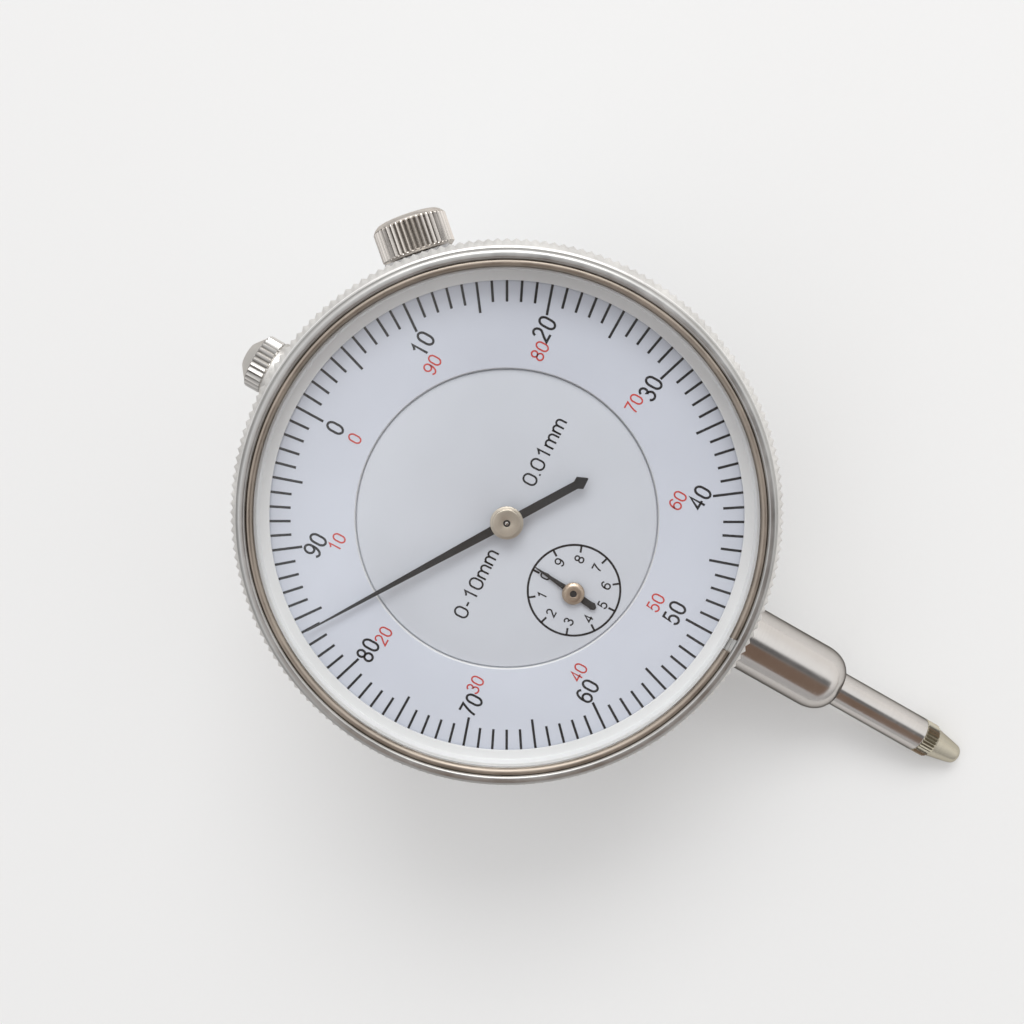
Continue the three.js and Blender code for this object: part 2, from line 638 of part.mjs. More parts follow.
const seatOutline = [
  [SEAT_BORE, DIAL_Z + 0.3], [26.5, DIAL_Z + 0.3], [26.5, CRYSTAL_Z[0] - REST],
  [26, CRYSTAL_Z[0] - REST], [25.9, DIAL_Z + 0.62], [SEAT_BORE, DIAL_Z + 0.57],
];
add("crystal_seat_ring", turned([...seatOutline, seatOutline[0]], RIM_SIDES), RING_WHITE);
add("crystal", rod(26.4, ...CRYSTAL_Z, RIM_SIDES), CLEAR);

/** A round wire bent into an open ring about Z, with its gap centred on 6 o'clock. */
function splitRing(radius, wireR, z, gapDegrees, sides) {
  const half = THREE.MathUtils.degToRad(gapDegrees / 2);
  const [from, to] = [-Math.PI / 2 + half, (3 * Math.PI) / 2 - half];
  const outline = new THREE.Shape().absarc(0, 0, wireR, 0, 2 * Math.PI);
  const extrudePath = new (class extends THREE.Curve {
    getPoint(u, target = new THREE.Vector3()) {
      const angle = THREE.MathUtils.lerp(from, to, u);
      return target.set(radius * Math.cos(angle), radius * Math.sin(angle), z);
    }
  })();
  const settings = { extrudePath, steps: 45, bevelEnabled: false, curveSegments: sides / 2 };
  return new THREE.ExtrudeGeometry(outline, settings);
}

add("crystal_retaining_wire", splitRing(26.6, WIRE_R, WIRE_Z, 3.6, 8), SPRING_STEEL);
add("bezel_snap_ring",
  splitRing(CASE_R - 0.1, 0.28, (SNAP_GROOVE[0] + SNAP_GROOVE[1]) / 2, 20, 6), SPRING_STEEL);

const KNURL_Z = [DIAL_Z - 3.2, DIAL_Z + 1.55];
const SKIRT_Z = DIAL_Z - 5.2;
const SKIRT_R = 28.2;

function bezel() {
  const outline = [
    [CASE_R + FREE, SKIRT_Z],
    [SKIRT_R, SKIRT_Z],
    [SKIRT_R, KNURL_Z[1] + 0.2],
    [SKIRT_R - 0.2, KNURL_Z[1] + 0.2],
    [27.8, LIP_Z - 0.15],
    [27.65, LIP_Z],
    [LIP_BORE + 0.1, LIP_Z],
    [LIP_BORE, WIRE_Z + 0.42],
    [LIP_BORE + 0.3, WIRE_Z + 0.25],
    [LIP_BORE + 0.3, WIRE_Z - 0.25],
    [BEZEL_BORE, WIRE_Z - 0.5],
    [BEZEL_BORE, SHELF_Z[1]],
    [SEAT_BORE + 0.2, SHELF_Z[1]],
    [SEAT_BORE + 0.2, SHELF_Z[0]],
    [CASE_R + FREE, SHELF_Z[0]],
  ];
  const ring = turned([...outline, outline[0]], RIM_SIDES);
  const band = ridged(BEZEL_R, BEZEL_KNURL_DEPTH, BEZEL_RIDGES);
  band.holes = [circle(SKIRT_R - 0.4, 0, 0, RIM_SIDES)];
  return carved([ring, plate(band, ...KNURL_Z)]);
}

add("bezel", bezel(), POLISHED);

// ---------------------------------------------------------------- bezel clamp

// Local Z is the radial direction outwards, and local -Y is towards the dial.
const clampLine = groupAt(0, 0, CLAMP_Z);
clampLine.rotation.set(-Math.PI / 2, 0, -CLAMP_CLOCK, "ZYX");

const SHOE_R = [CASE_R + 1.4, 29.6];
const KNOB_R = 4.2;
const KNOB_OUT = [30, 34.3];

function clampScrew() {
  const body = turned([
    [0, CASE_BORE + 0.6],
    [1, CASE_BORE + 0.6],
    [1, KNOB_OUT[0]],
    [KNOB_R - 0.6, KNOB_OUT[0]],
    [KNOB_R - 0.3, KNOB_OUT[0] + 0.3],
    [KNOB_R - 0.3, KNOB_OUT[1] - 0.5],
    [KNOB_R - 0.8, KNOB_OUT[1]],
    [0, KNOB_OUT[1]],
  ], 24);
  const knurl = plate(ridged(KNOB_R, 0.25, 36), KNOB_OUT[0] + 0.4, KNOB_OUT[1] - 0.5);
  return carved([body, knurl]);
}

/** A block with a lip that reaches over the bezel's skirt, and a clear hole for the screw. */
function clampShoe() {
  const lipStart = -(SKIRT_Z + 0.1 - CLAMP_Z); // local Y runs towards the back
  const lipEnd = -(KNURL_Z[0] - 0.6 - CLAMP_Z);
  const block = box([-3.6, 3.6], [-(SKIRT_Z - 0.4 - CLAMP_Z), 3.4], SHOE_R);
  const lip = box([-3.6, 3.6], [lipEnd, lipStart + 1], [28.55, SHOE_R[1]]);
  const hole = rod(1.2, SHOE_R[0] - 1, SHOE_R[1] + 1);
  return carved([block, lip], [hole]);
}

add("clamp_screw", clampScrew(), CHROMED, clampLine);
add("clamp_shoe", clampShoe(), STEEL, clampLine);

export default indicator;
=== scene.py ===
"""Dial indicator: fine surfaces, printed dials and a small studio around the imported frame."""

import math

import bmesh
import bpy
from mathutils import Matrix, Vector
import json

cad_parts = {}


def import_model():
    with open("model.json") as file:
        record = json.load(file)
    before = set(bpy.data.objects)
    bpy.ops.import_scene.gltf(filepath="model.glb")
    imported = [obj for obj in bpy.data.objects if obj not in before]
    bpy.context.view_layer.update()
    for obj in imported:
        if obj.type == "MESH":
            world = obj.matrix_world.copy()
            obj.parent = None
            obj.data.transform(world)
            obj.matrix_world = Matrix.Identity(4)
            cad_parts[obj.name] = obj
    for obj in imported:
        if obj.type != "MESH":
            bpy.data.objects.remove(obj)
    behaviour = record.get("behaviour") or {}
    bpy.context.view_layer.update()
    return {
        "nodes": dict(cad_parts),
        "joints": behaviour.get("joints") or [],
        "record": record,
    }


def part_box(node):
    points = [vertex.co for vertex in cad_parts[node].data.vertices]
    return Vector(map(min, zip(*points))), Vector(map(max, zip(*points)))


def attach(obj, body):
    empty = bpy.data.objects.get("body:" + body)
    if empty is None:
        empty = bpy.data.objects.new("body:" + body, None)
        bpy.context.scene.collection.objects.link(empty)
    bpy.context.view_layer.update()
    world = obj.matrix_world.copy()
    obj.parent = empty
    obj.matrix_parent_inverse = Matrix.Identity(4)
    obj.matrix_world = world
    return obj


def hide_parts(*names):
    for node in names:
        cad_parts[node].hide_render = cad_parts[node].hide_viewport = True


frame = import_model()

MM = 0.001
TAU = 2 * math.pi


# ------------------------------------------------------------ places in mm, from the frame

def low(node):
    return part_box(node)[0] / MM


def high(node):
    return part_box(node)[1] / MM


JOINTS = {joint["name"]: joint for joint in frame["joints"]}

DIAL_Z = high("outer_dial").z
DISC_Z = high("inner_dial").z
DISC_R = high("inner_dial").x
LIP_Z = high("bezel").z
BEZEL_R = high("bezel").x
CASE_BACK = low("case").z
CASE_R = 26.2
CASE_FRONT = DIAL_Z - 1.8
STEM_Z = (low("stem").z + high("stem").z) / 2
STEM_R = high("stem").x
STEM_END = low("stem").y
STEM_INNER = high("stem").y
SPINDLE_R = 2.15
TIP_THREAD_R = 1.1
CAP_THREAD_R = 1.4
SPINDLE_END = low("spindle").y
TIP_Y = low("contact_point").y
CAP_SEAT = low("lifting_cap").y
CAP_CROWN = high("lifting_cap").y
ARBOR = Vector(JOINTS["counter_turn"]["pos_m"]) / MM
HUB_Z = low("pointer_hub").z + 0.35
KNOB_INWARD = Vector(JOINTS["clamp_screw_turn"]["axis"])
KNOB_Z = JOINTS["clamp_screw_turn"]["pos_m"][2] / MM

DIAL_TURN = math.radians(0.86)  # the bezel's zero stands a little left of the stem's line
DISC_TURN = math.radians(2.66)

BEZEL_RIDGES, TIP_RIDGES, CAP_RIDGES, KNOB_RIDGES = 188, 30, 28, 42
TIP_COLLAR = SPINDLE_END - 0.05
CAP_KNURL = (31.9, 33.75)
KNOB_INNER, KNOB_OUTER, KNOB_R = 30.0, 34.3, 4.2

STEM_AXIS = Matrix.Translation((0, 0, STEM_Z)) @ Matrix.Rotation(-math.pi / 2, 4, "X")
ARBOR_AXIS = Matrix.Translation((ARBOR.x, ARBOR.y, 0))
KNOB_AXIS = (Matrix.Translation((0, 0, KNOB_Z))
             @ (-KNOB_INWARD).to_track_quat("Z", "Y").to_matrix().to_4x4())


# ------------------------------------------------------------ mesh tools, all in mm

def bend(start, corner, end, steps):
    """Points along a rounded corner, from start to end."""
    curve = []
    for k in range(steps + 1):
        t = k / steps
        curve.append(start * (1 - t) ** 2 + corner * 2 * t * (1 - t) + end * t * t)
    return curve


def rounded(points, steps=4):
    """An outline whose corners are cut back and rounded: points are (r, z) or (r, z, reach)."""
    outline = []
    for i, point in enumerate(points):
        corner = Vector(point[:2])
        if len(point) == 2:
            outline.append(corner)
            continue
        before = Vector(points[i - 1][:2]) - corner
        after = Vector(points[(i + 1) % len(points)][:2]) - corner
        reach = min(point[2], 0.48 * before.length, 0.48 * after.length)
        start = corner + reach * before.normalized()
        end = corner + reach * after.normalized()
        outline += bend(start, corner, end, steps)
    return outline


def mesh_object(name, points, faces, sharp=32):
    """An object from points in mm, its faces turned outwards and smooth below the sharp angle."""
    mesh = bpy.data.meshes.new(name)
    mesh.from_pydata([Vector(point) * MM for point in points], [], faces)
    tidy = bmesh.new()
    tidy.from_mesh(mesh)
    bmesh.ops.remove_doubles(tidy, verts=tidy.verts, dist=1e-8)
    bmesh.ops.recalc_face_normals(tidy, faces=tidy.faces)
    tidy.to_mesh(mesh)
    tidy.free()
    obj = bpy.data.objects.new(name, mesh)
    bpy.context.scene.collection.objects.link(obj)
    return smooth(obj, sharp)


def smooth(obj, sharp=32):
    obj.data.shade_smooth()
    obj.data.set_sharp_from_angle(angle=math.radians(sharp))
    return obj


def lathe(name, outline, segments=128, wave=None):
    """A closed solid of revolution about Z. wave(r, z, turn) may give the radius at each turn."""
    points, rings = [], []
    for r, z in outline:
        if r < 1e-6:
            rings.append([len(points)] * segments)
            points.append((0, 0, z))
            continue
        rings.append(range(len(points), len(points) + segments))
        for k in range(segments):
            turn = k / segments
            radius = wave(r, z, turn) if wave else r
            points.append((radius * math.cos(TAU * turn), radius * math.sin(TAU * turn), z))
    faces = []
    for i, ring in enumerate(rings):
        following = rings[(i + 1) % len(rings)]
        for k in range(segments):
            n = (k + 1) % segments
            corners = dict.fromkeys((ring[k], ring[n], following[n], following[k]))
            if len(corners) > 2:
                faces.append(tuple(corners))
    return mesh_object(name, points, faces)


def knurl(ridges, depth, z0, z1, inner, outer):
    """A wave for lathe(): V-shaped ridges between z0 and z1, none at inner and full at outer."""
    def wave(r, z, turn):
        share = min(1, max(0, (r - inner) / (outer - inner))) if z0 <= z <= z1 else 0
        return r - share * depth * abs((2 * ridges * turn) % 2 - 1)
    return wave


def prism(name, outline, z0, z1):
    """A flat outline extruded from z0 to z1."""
    count = len(outline)
    points = [(x, y, z) for z in (z0, z1) for x, y in outline]
    faces = [tuple(range(count)), tuple(range(count, 2 * count))]
    for i in range(count):
        n = (i + 1) % count
        faces.append((i, n, n + count, i + count))
    return mesh_object(name, points, faces)


def applied(obj):
    """The object with its modifiers made real."""
    bpy.context.view_layer.update()
    graph = bpy.context.evaluated_depsgraph_get()
    mesh = bpy.data.meshes.new_from_object(obj.evaluated_get(graph))
    obj.modifiers.clear()
    obj.data = mesh
    return smooth(obj)


def bevelled(obj, width, segments=3, angle=40):
    bevel = obj.modifiers.new("bevel", "BEVEL")
    bevel.width = width * MM
    bevel.segments = segments
    bevel.limit_method = "ANGLE"
    bevel.angle_limit = math.radians(angle)
    return applied(obj)


def combined(obj, others, operation):
    """The object with the others joined on (UNION) or cut away (DIFFERENCE)."""
    for other in others:
        boolean = obj.modifiers.new("boolean", "BOOLEAN")
        boolean.object = other
        boolean.operation = operation
        boolean.solver = "EXACT"
        applied(obj)
        bpy.data.objects.remove(other)
    return obj


def moved(obj, matrix):
    """The object's mesh placed by a matrix whose lengths are in mm."""
    placed = matrix.copy()
    placed.translation = matrix.translation * MM
    obj.data.transform(placed)
    return obj


def place(obj, body, material, slot, *nodes):
    """Puts a finished piece on its body, in the place of the CAD nodes it stands for."""
    obj.data.materials.clear()
    obj.data.materials.append(material)
    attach(obj, body)
    if nodes:
        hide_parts(*nodes)
    return obj


def cylinder(name, radius, z0, z1, segments=64):
    return lathe(name, [(0, z0), (radius, z0), (radius, z1), (0, z1)], segments)


# ------------------------------------------------------------ materials

def make(tree, kind, inputs=(), output=0, **settings):
    """Adds a node with its inputs, each a value or another node's output; gives its output."""
    node = tree.nodes.new(kind)
    for key, value in settings.items():
        setattr(node, key, value)
    for socket, value in dict(inputs).items():
        if isinstance(value, bpy.types.NodeSocket):
            tree.links.new(value, node.inputs[socket])
        else:
            node.inputs[socket].default_value = value
    return node.outputs[output]


def calc(tree, operation, a, b=0.0):
    return make(tree, "ShaderNodeMath", {0: a, 1: b}, operation=operation)


def vector_calc(tree, operation, a, b, output=0):
    return make(tree, "ShaderNodeVectorMath", {0: a, 1: b}, output, operation=operation)


def remap(tree, value, low_in, high_in, low_out, high_out):
    sockets = {0: value, 1: low_in, 2: high_in, 3: low_out, 4: high_out}
    return make(tree, "ShaderNodeMapRange", sockets)


def noise(tree, vector, scale, detail=3.0, roughness=0.5):
    sockets = {"Vector": vector, "Scale": scale, "Detail": detail, "Roughness": roughness}
    return make(tree, "ShaderNodeTexNoise", sockets)


def blend_colours(tree, share, a, b):
    return make(tree, "ShaderNodeMix", {0: share, 6: a, 7: b}, 2, data_type="RGBA")


def new_material(name):
    """A material, its node tree, its shader node and object coordinates in mm."""
    material = bpy.data.materials.new(name)
    material.use_nodes = True
    tree = material.node_tree
    shader = tree.nodes["Principled BSDF"]
    position = make(tree, "ShaderNodeTexCoord", output=3)
    return material, tree, shader, vector_calc(tree, "MULTIPLY", position, (1000, 1000, 1000))


def connect(tree, value, shader, socket):
    tree.links.new(value, shader.inputs[socket])


def bump(tree, shader, height, strength, distance=0.01):
    sockets = {"Strength": strength, "Distance": distance * MM, "Height": height}
    connect(tree, make(tree, "ShaderNodeBump", sockets), shader, "Normal")


def shades(colour, spread):
    """A darker and a lighter version of a colour."""
    dark = tuple(max(0, c * (1 - spread)) for c in colour) + (1,)
    light = tuple(min(1, c * (1 + spread)) for c in colour) + (1,)
    return dark, light


def about_axis(tree, position, origin, axis):
    """Coordinates (distance from the axis, distance along it, 0), for turned surfaces."""
    offset = vector_calc(tree, "SUBTRACT", position, origin)
    along = vector_calc(tree, "DOT_PRODUCT", offset, axis, output=1)
    on_axis = make(tree, "ShaderNodeVectorMath", {0: axis, "Scale": along}, operation="SCALE")
    radial = vector_calc(tree, "SUBTRACT", offset, on_axis)
    distance = make(tree, "ShaderNodeVectorMath", {0: radial}, 1, operation="LENGTH")
    return make(tree, "ShaderNodeCombineXYZ", {0: distance, 1: along})


def turned_metal(name, colour, roughness, origin, axis, spread=0.08, groove=0.12, edge=0.6,
                 valley=None):
    """Metal with fine turning marks round an axis, faint smudges and a few scratches.

    edge is how much it reflects at a glancing angle. valley is (foot radius, crest radius,
    start, end) of a knurl, whose grooves get painted shade, darker towards their foot.
    """
    material, tree, shader, position = new_material(name)
    place_on_axis = about_axis(tree, position, origin, axis)
    rings = noise(tree, place_on_axis, 7.0, 4.0, 0.65)
    smudge = noise(tree, position, 0.22, 4.0, 0.6)
    scratch = make(tree, "ShaderNodeTexVoronoi",
                   {"Vector": vector_calc(tree, "MULTIPLY", position, (0.5, 3.0, 3.0)),
                    "Scale": 0.8},
                   feature="DISTANCE_TO_EDGE")
    line = remap(tree, scratch, 0.0, 0.02, 1.0, 0.0)
    dark, light = shades(colour, spread)
    tone = calc(tree, "ADD", calc(tree, "MULTIPLY", rings, 0.55),
                calc(tree, "MULTIPLY", smudge, 0.45))
    shade = blend_colours(tree, remap(tree, tone, 0.35, 0.65, 0.0, 1.0), dark, light)
    if valley:
        foot, crest, start, end = valley
        separated = make(tree, "ShaderNodeSeparateXYZ", {0: place_on_axis}).node
        radius, along = separated.outputs[:2]
        inside = calc(tree, "MULTIPLY", calc(tree, "GREATER_THAN", along, start),
                      calc(tree, "LESS_THAN", along, end))
        # painted shade: the knurl's grooves darken towards their foot, towards a quarter of the
        # colour
        groove_shade = calc(tree, "MULTIPLY", remap(tree, radius, foot, crest, 0.75, 0.0), inside)
        groove_shade_colour = tuple(c * 0.25 for c in colour) + (1,)
        shade = blend_colours(tree, groove_shade, shade, groove_shade_colour)
    connect(tree, shade, shader, "Base Color")
    worn = remap(tree, smudge, 0.3, 0.7, roughness * 0.8, roughness * 1.25)
    rough = calc(tree, "ADD", worn, calc(tree, "MULTIPLY", line, 0.06))
    connect(tree, rough, shader, "Roughness")
    shader.inputs["Metallic"].default_value = 1.0
    shader.inputs["Specular Tint"].default_value = (edge, edge * 0.96, edge * 0.92, 1)
    bump(tree, shader, rings, groove)
    return material


def sheet_metal(name, colour, roughness):
    """Rolled metal brushed along X, with a cloudy tarnish."""
    material, tree, shader, position = new_material(name)
    grain = noise(tree, vector_calc(tree, "MULTIPLY", position, (0.4, 9.0, 9.0)), 1.6, 4.0, 0.6)
    cloud = noise(tree, position, 0.35, 3.0, 0.6)
    dark, light = shades(colour, 0.16)
    shade = blend_colours(tree, remap(tree, cloud, 0.3, 0.7, 0.0, 1.0), dark, light)
    connect(tree, shade, shader, "Base Color")
    rough = remap(tree, grain, 0.3, 0.7, roughness * 0.75, roughness * 1.3)
    connect(tree, rough, shader, "Roughness")
    shader.inputs["Metallic"].default_value = 1.0
    bump(tree, shader, grain, 0.15)
    return material


def satin(name, colour, roughness, peel, spread=0.03, metallic=0.0, coat=0.0):
    """A satin coat with a fine orange peel and slightly uneven gloss."""
    material, tree, shader, position = new_material(name)
    fine = noise(tree, position, peel, 3.0, 0.5)
    cloud = noise(tree, position, 0.12, 3.0, 0.5)
    dark, light = shades(colour, spread)
    shade = blend_colours(tree, remap(tree, cloud, 0.3, 0.7, 0.0, 1.0), dark, light)
    connect(tree, shade, shader, "Base Color")
    rough = remap(tree, fine, 0.3, 0.7, roughness * 0.9, roughness * 1.12)
    connect(tree, rough, shader, "Roughness")
    shader.inputs["Metallic"].default_value = metallic
    shader.inputs["Coat Weight"].default_value = coat
    shader.inputs["Coat Roughness"].default_value = 0.15
    bump(tree, shader, fine, 0.08)
    return material


def clear_plastic(name):
    """Polished clear acrylic with faint wiping marks."""
    material, tree, shader, position = new_material(name)
    wipe = noise(tree, vector_calc(tree, "MULTIPLY", position, (0.25, 1.6, 1.0)), 0.8, 4.0, 0.6)
    connect(tree, remap(tree, wipe, 0.45, 0.8, 0.0, 0.05), shader, "Roughness")
    shader.inputs["Base Color"].default_value = (0.985, 0.992, 0.995, 1)
    shader.inputs["Transmission Weight"].default_value = 1.0
    shader.inputs["IOR"].default_value = 1.49
    return material


DIAL_LINE = ((0, 0, 0), (0, 0, 1))
STEM_LINE = ((0, 0, STEM_Z), (0, 1, 0))
KNOB_LINE = ((0, 0, KNOB_Z), tuple(-KNOB_INWARD))
COUNTER_LINE = ((ARBOR.x, ARBOR.y, 0), (0, 0, 1))

BEZEL_METAL = turned_metal("bezel_aluminium", (0.83, 0.82, 0.80), 0.6, *DIAL_LINE)
BEZEL_LIP = turned_metal("bezel_lip", (0.52, 0.515, 0.50), 0.36, *DIAL_LINE, 0.16, 0.25)
STEM_STEEL = turned_metal("stem_steel", (0.63, 0.60, 0.57), 0.19, *STEM_LINE, 0.05, 0.05, 0.12)
CAP_PLATE = turned_metal("cap_plating", (0.72, 0.70, 0.67), 0.36, *STEM_LINE,
                         valley=(3.06, 3.28, CAP_KNURL[0], CAP_KNURL[1] + 0.1))
TIP_NICKEL = turned_metal("tip_nickel", (0.55, 0.51, 0.41), 0.2, *STEM_LINE,
                          valley=(1.5, 2.13, SPINDLE_END - 1.72, SPINDLE_END - 0.1))
KNOB_PLATE = turned_metal("knob_plating", (0.76, 0.71, 0.655), 0.27, *KNOB_LINE, 0.14, 0.3,
                          valley=(3.9, 4.17, KNOB_INNER + 0.35, KNOB_OUTER - 0.7))
BUSH_BRONZE = turned_metal("bush_bronze", (0.60, 0.44, 0.28), 0.3, *STEM_LINE)
HUB_NICKEL = turned_metal("hub_nickel", (0.60, 0.54, 0.455), 0.42, *DIAL_LINE)
HUB_BRONZE = turned_metal("hub_bronze", (0.50, 0.40, 0.31), 0.42, *COUNTER_LINE)
WIRE_STEEL = turned_metal("wire_steel", (0.40, 0.345, 0.29), 0.42, *DIAL_LINE, 0.2, 0.2)
BRASS_SHEET = sheet_metal("brass_sheet", (0.72, 0.53, 0.23), 0.34)
PLAIN_STEEL = sheet_metal("plain_steel", (0.56, 0.55, 0.54), 0.3)
COVER_SCREW_STEEL = turned_metal("screw_steel", (0.56, 0.55, 0.53), 0.3, *DIAL_LINE)
CASE_PAINT = satin("case_paint", (0.36, 0.37, 0.38), 0.42, 3.2, 0.05, 0.5, 0.2)
DIAL_PAINT = satin("dial_paint", (0.63, 0.66, 0.735), 0.38, 6.0, 0.02)
DISC_PAINT = satin("disc_paint", (0.615, 0.64, 0.69), 0.38, 6.0, 0.02)
RING_PAINT = satin("ring_white", (0.76, 0.765, 0.765), 0.35, 4.0, 0.02)
NEEDLE_BLACK = satin("needle_black", (0.018, 0.019, 0.020), 0.5, 8.0, 0.2)
BLACK_INK = satin("black_ink", (0.008, 0.008, 0.010), 0.65, 9.0, 0.3)
RED_INK = satin("red_ink", (0.56, 0.055, 0.045), 0.45, 9.0, 0.12)
CRYSTAL = clear_plastic("crystal_acrylic")


# ------------------------------------------------------------ printed marks

def arc(cx, cy, rx, ry, start, end, steps=14):
    """Points along an ellipse between two angles in degrees."""
    angles = [math.radians(start + (end - start) * k / steps) for k in range(steps + 1)]
    return [(cx + rx * math.cos(a), cy + ry * math.sin(a)) for a in angles]


def half_turned(strokes, width):
    return [[(width - x, 1 - y) for x, y in stroke] for stroke in strokes]


# Each glyph is its width and its strokes, in a box one unit high; a digit is one unit wide,
# and is stretched to its real width when it is drawn.
SIX = [arc(0.5, 0.30, 0.5, 0.30, 0, 360, 24), arc(0.60, 0.46, 0.60, 0.54, 48, 190)]
GLYPHS = {
    "0": (1, [arc(0.5, 0.66, 0.5, 0.34, 0, 180) + arc(0.5, 0.34, 0.5, 0.34, 180, 360)
              + [(1, 0.66)]]),
    "1": (1, [[(0.62, 0), (0.62, 1), (0.42, 0.86), (0.16, 0.76)]]),
    "2": (1, [arc(0.5, 0.71, 0.46, 0.29, 165, -30) + [(0.38, 0.27), (0, 0), (1, 0)]]),
    "3": (1, [arc(0.48, 0.755, 0.42, 0.245, 160, -75) + arc(0.48, 0.27, 0.50, 0.27, 80, -165)]),
    "4": (1, [[(0.76, 0), (0.76, 1), (0, 0.28), (1.06, 0.28)]]),
    "5": (1, [[(0.92, 1), (0.24, 1), (0.10, 0.50)] + arc(0.48, 0.32, 0.50, 0.32, 132, -160)]),
    "6": (1, SIX),
    "7": (1, [[(0, 1), (1, 1), (0.64, 0.60), (0.42, 0.28), (0.34, 0)]]),
    "8": (1, [arc(0.5, 0.755, 0.43, 0.245, 0, 360, 22), arc(0.5, 0.26, 0.5, 0.26, 0, 360, 22)]),
    "9": (1, half_turned(SIX, 1)),
    "m": (1.4, [[(0, 0), (0, 0.72)],
                [(0, 0)] + arc(0.35, 0.46, 0.35, 0.26, 180, 0) + [(0.70, 0)],
                arc(1.05, 0.46, 0.35, 0.26, 180, 0) + [(1.40, 0)]]),
    ".": (0.1, [[(0.05, -0.05), (0.05, 0.07)]]),
    "-": (0.5, [[(0, 0.36), (0.5, 0.36)]]),
}
INK_TOP = 0.012
INK_SUNK = 0.02


class Print:
    """Ink strokes gathered into one thin raised mesh on a flat face at height z."""

    def __init__(self, z):
        self.z = z
        self.points = []
        self.faces = []

    def stroke(self, line, width):
        """A ribbon of ink along a line of points; a line that ends where it starts is closed."""
        closed = math.dist(line[0], line[-1]) < 1e-6
        line = [Vector(point) for point in (line[:-1] if closed else line)]
        count = len(line)
        first = len(self.points)
        for i, point in enumerate(line):
            before = line[i - 1] if closed or i else point
            after = line[(i + 1) % count] if closed or i < count - 1 else point
            into = (point - before).normalized() if point != before else None
            out = (after - point).normalized() if after != point else None
            heading = ((into or out) + (out or into)).normalized()
            slow = max(0.45, heading.dot(into or out))
            side = Vector((-heading.y, heading.x)) * width / 2 / slow
            for x, y in (point + side, point - side):
                self.points += [(x, y, self.z - INK_SUNK), (x, y, self.z + INK_TOP)]
        for i in range(count if closed else count - 1):
            a = first + 4 * i
            b = first + 4 * ((i + 1) % count)
            for p, q in ((0, 1), (1, 3), (3, 2), (2, 0)):
                self.faces.append((a + p, a + q, b + q, b + p))
        if not closed:
            end = first + 4 * (count - 1)
            for corner in (first, end):
                self.faces.append((corner, corner + 1, corner + 3, corner + 2))

    def text(self, words, centre, height, digit, gap, width):
        """Upright words centred on a point. digit is a digit's outer width."""
        rise = height - width
        stretch = digit - width
        widths = [GLYPHS[letter][0] * stretch for letter in words]
        x = centre[0] - (sum(widths) + (gap + width) * (len(words) - 1)) / 2
        y = centre[1] - rise / 2
        for letter, wide in zip(words, widths):
            for stroke in GLYPHS[letter][1]:
                self.stroke([(x + u * stretch, y + v * rise) for u, v in stroke], width)
            x += wide + gap + width

    def finish(self, name, turn):
        obj = mesh_object(name, self.points, self.faces, 20)
        return moved(obj, Matrix.Rotation(turn, 4, "Z"))


def at_clock(radius, share):
    """A point on a circle, a share of a turn clockwise from 12 o'clock."""
    return radius * math.sin(TAU * share), radius * math.cos(TAU * share)


MARK_OUTER = 25.0
LONG_MARK, SHORT_MARK = 3.28, 2.3
MARK_WIDTH = 0.27
BLACK_TEXT_R = 20.33
RED_TEXT_R = 18.03
BLACK_NUMBER = {"height": 1.98, "digit": 1.1, "gap": 0.2, "width": 0.25}
RED_NUMBER = {"height": 1.48, "digit": 0.88, "gap": 0.14, "width": 0.17}


def dial_marks():
    black = Print(DIAL_Z)
    red = Print(DIAL_Z)
    for mark in range(100):
        inner = MARK_OUTER - (SHORT_MARK if mark % 5 else LONG_MARK)
        ends = [at_clock(inner, mark / 100), at_clock(MARK_OUTER, mark / 100)]
        black.stroke(ends, MARK_WIDTH)
    for tens in range(10):
        reverse = -tens % 10
        black.text(str(tens * 10), at_clock(BLACK_TEXT_R, tens / 10), **BLACK_NUMBER)
        red.text(str(reverse * 10), at_clock(RED_TEXT_R, tens / 10), **RED_NUMBER)
    place(black.finish("dial_marks", DIAL_TURN), "bezel", BLACK_INK, "pointer_black")
    place(red.finish("dial_reverse_numbers", DIAL_TURN), "bezel", RED_INK, None)


COUNTER_CENTRE = Vector((-3.40, -9.735))
COUNTER_R = 4.91
COUNTER_MARK = 0.78
COUNTER_TEXT_R = 3.42
COUNTER_NUMBER = {"height": 1.12, "digit": 0.73, "gap": 0.1, "width": 0.16}
RANGE_TEXT = {"height": 1.64, "digit": 1.17, "gap": 0.15, "width": 0.205}


def disc_marks():
    ink = Print(DISC_Z)
    ink.text("0.01mm", (8.27, -0.16), **RANGE_TEXT)
    ink.text("0-10mm", (-7.49, -0.16), **RANGE_TEXT)
    ring = [COUNTER_CENTRE + Vector(at_clock(COUNTER_R, k / 96)) for k in range(96)]
    ink.stroke(ring + ring[:1], 0.23)
    for k in range(10):
        mark_inner, mark_outer, number = (
            COUNTER_CENTRE + Vector(at_clock(r, -k / 10))
            for r in (COUNTER_R - COUNTER_MARK, COUNTER_R, COUNTER_TEXT_R))
        ink.stroke([mark_inner, mark_outer], 0.22)
        ink.text(str(k), number, **COUNTER_NUMBER)
    place(ink.finish("disc_marks", DISC_TURN), "case", BLACK_INK, "pointer_black")


# ------------------------------------------------------------ bezel, crystal and dials

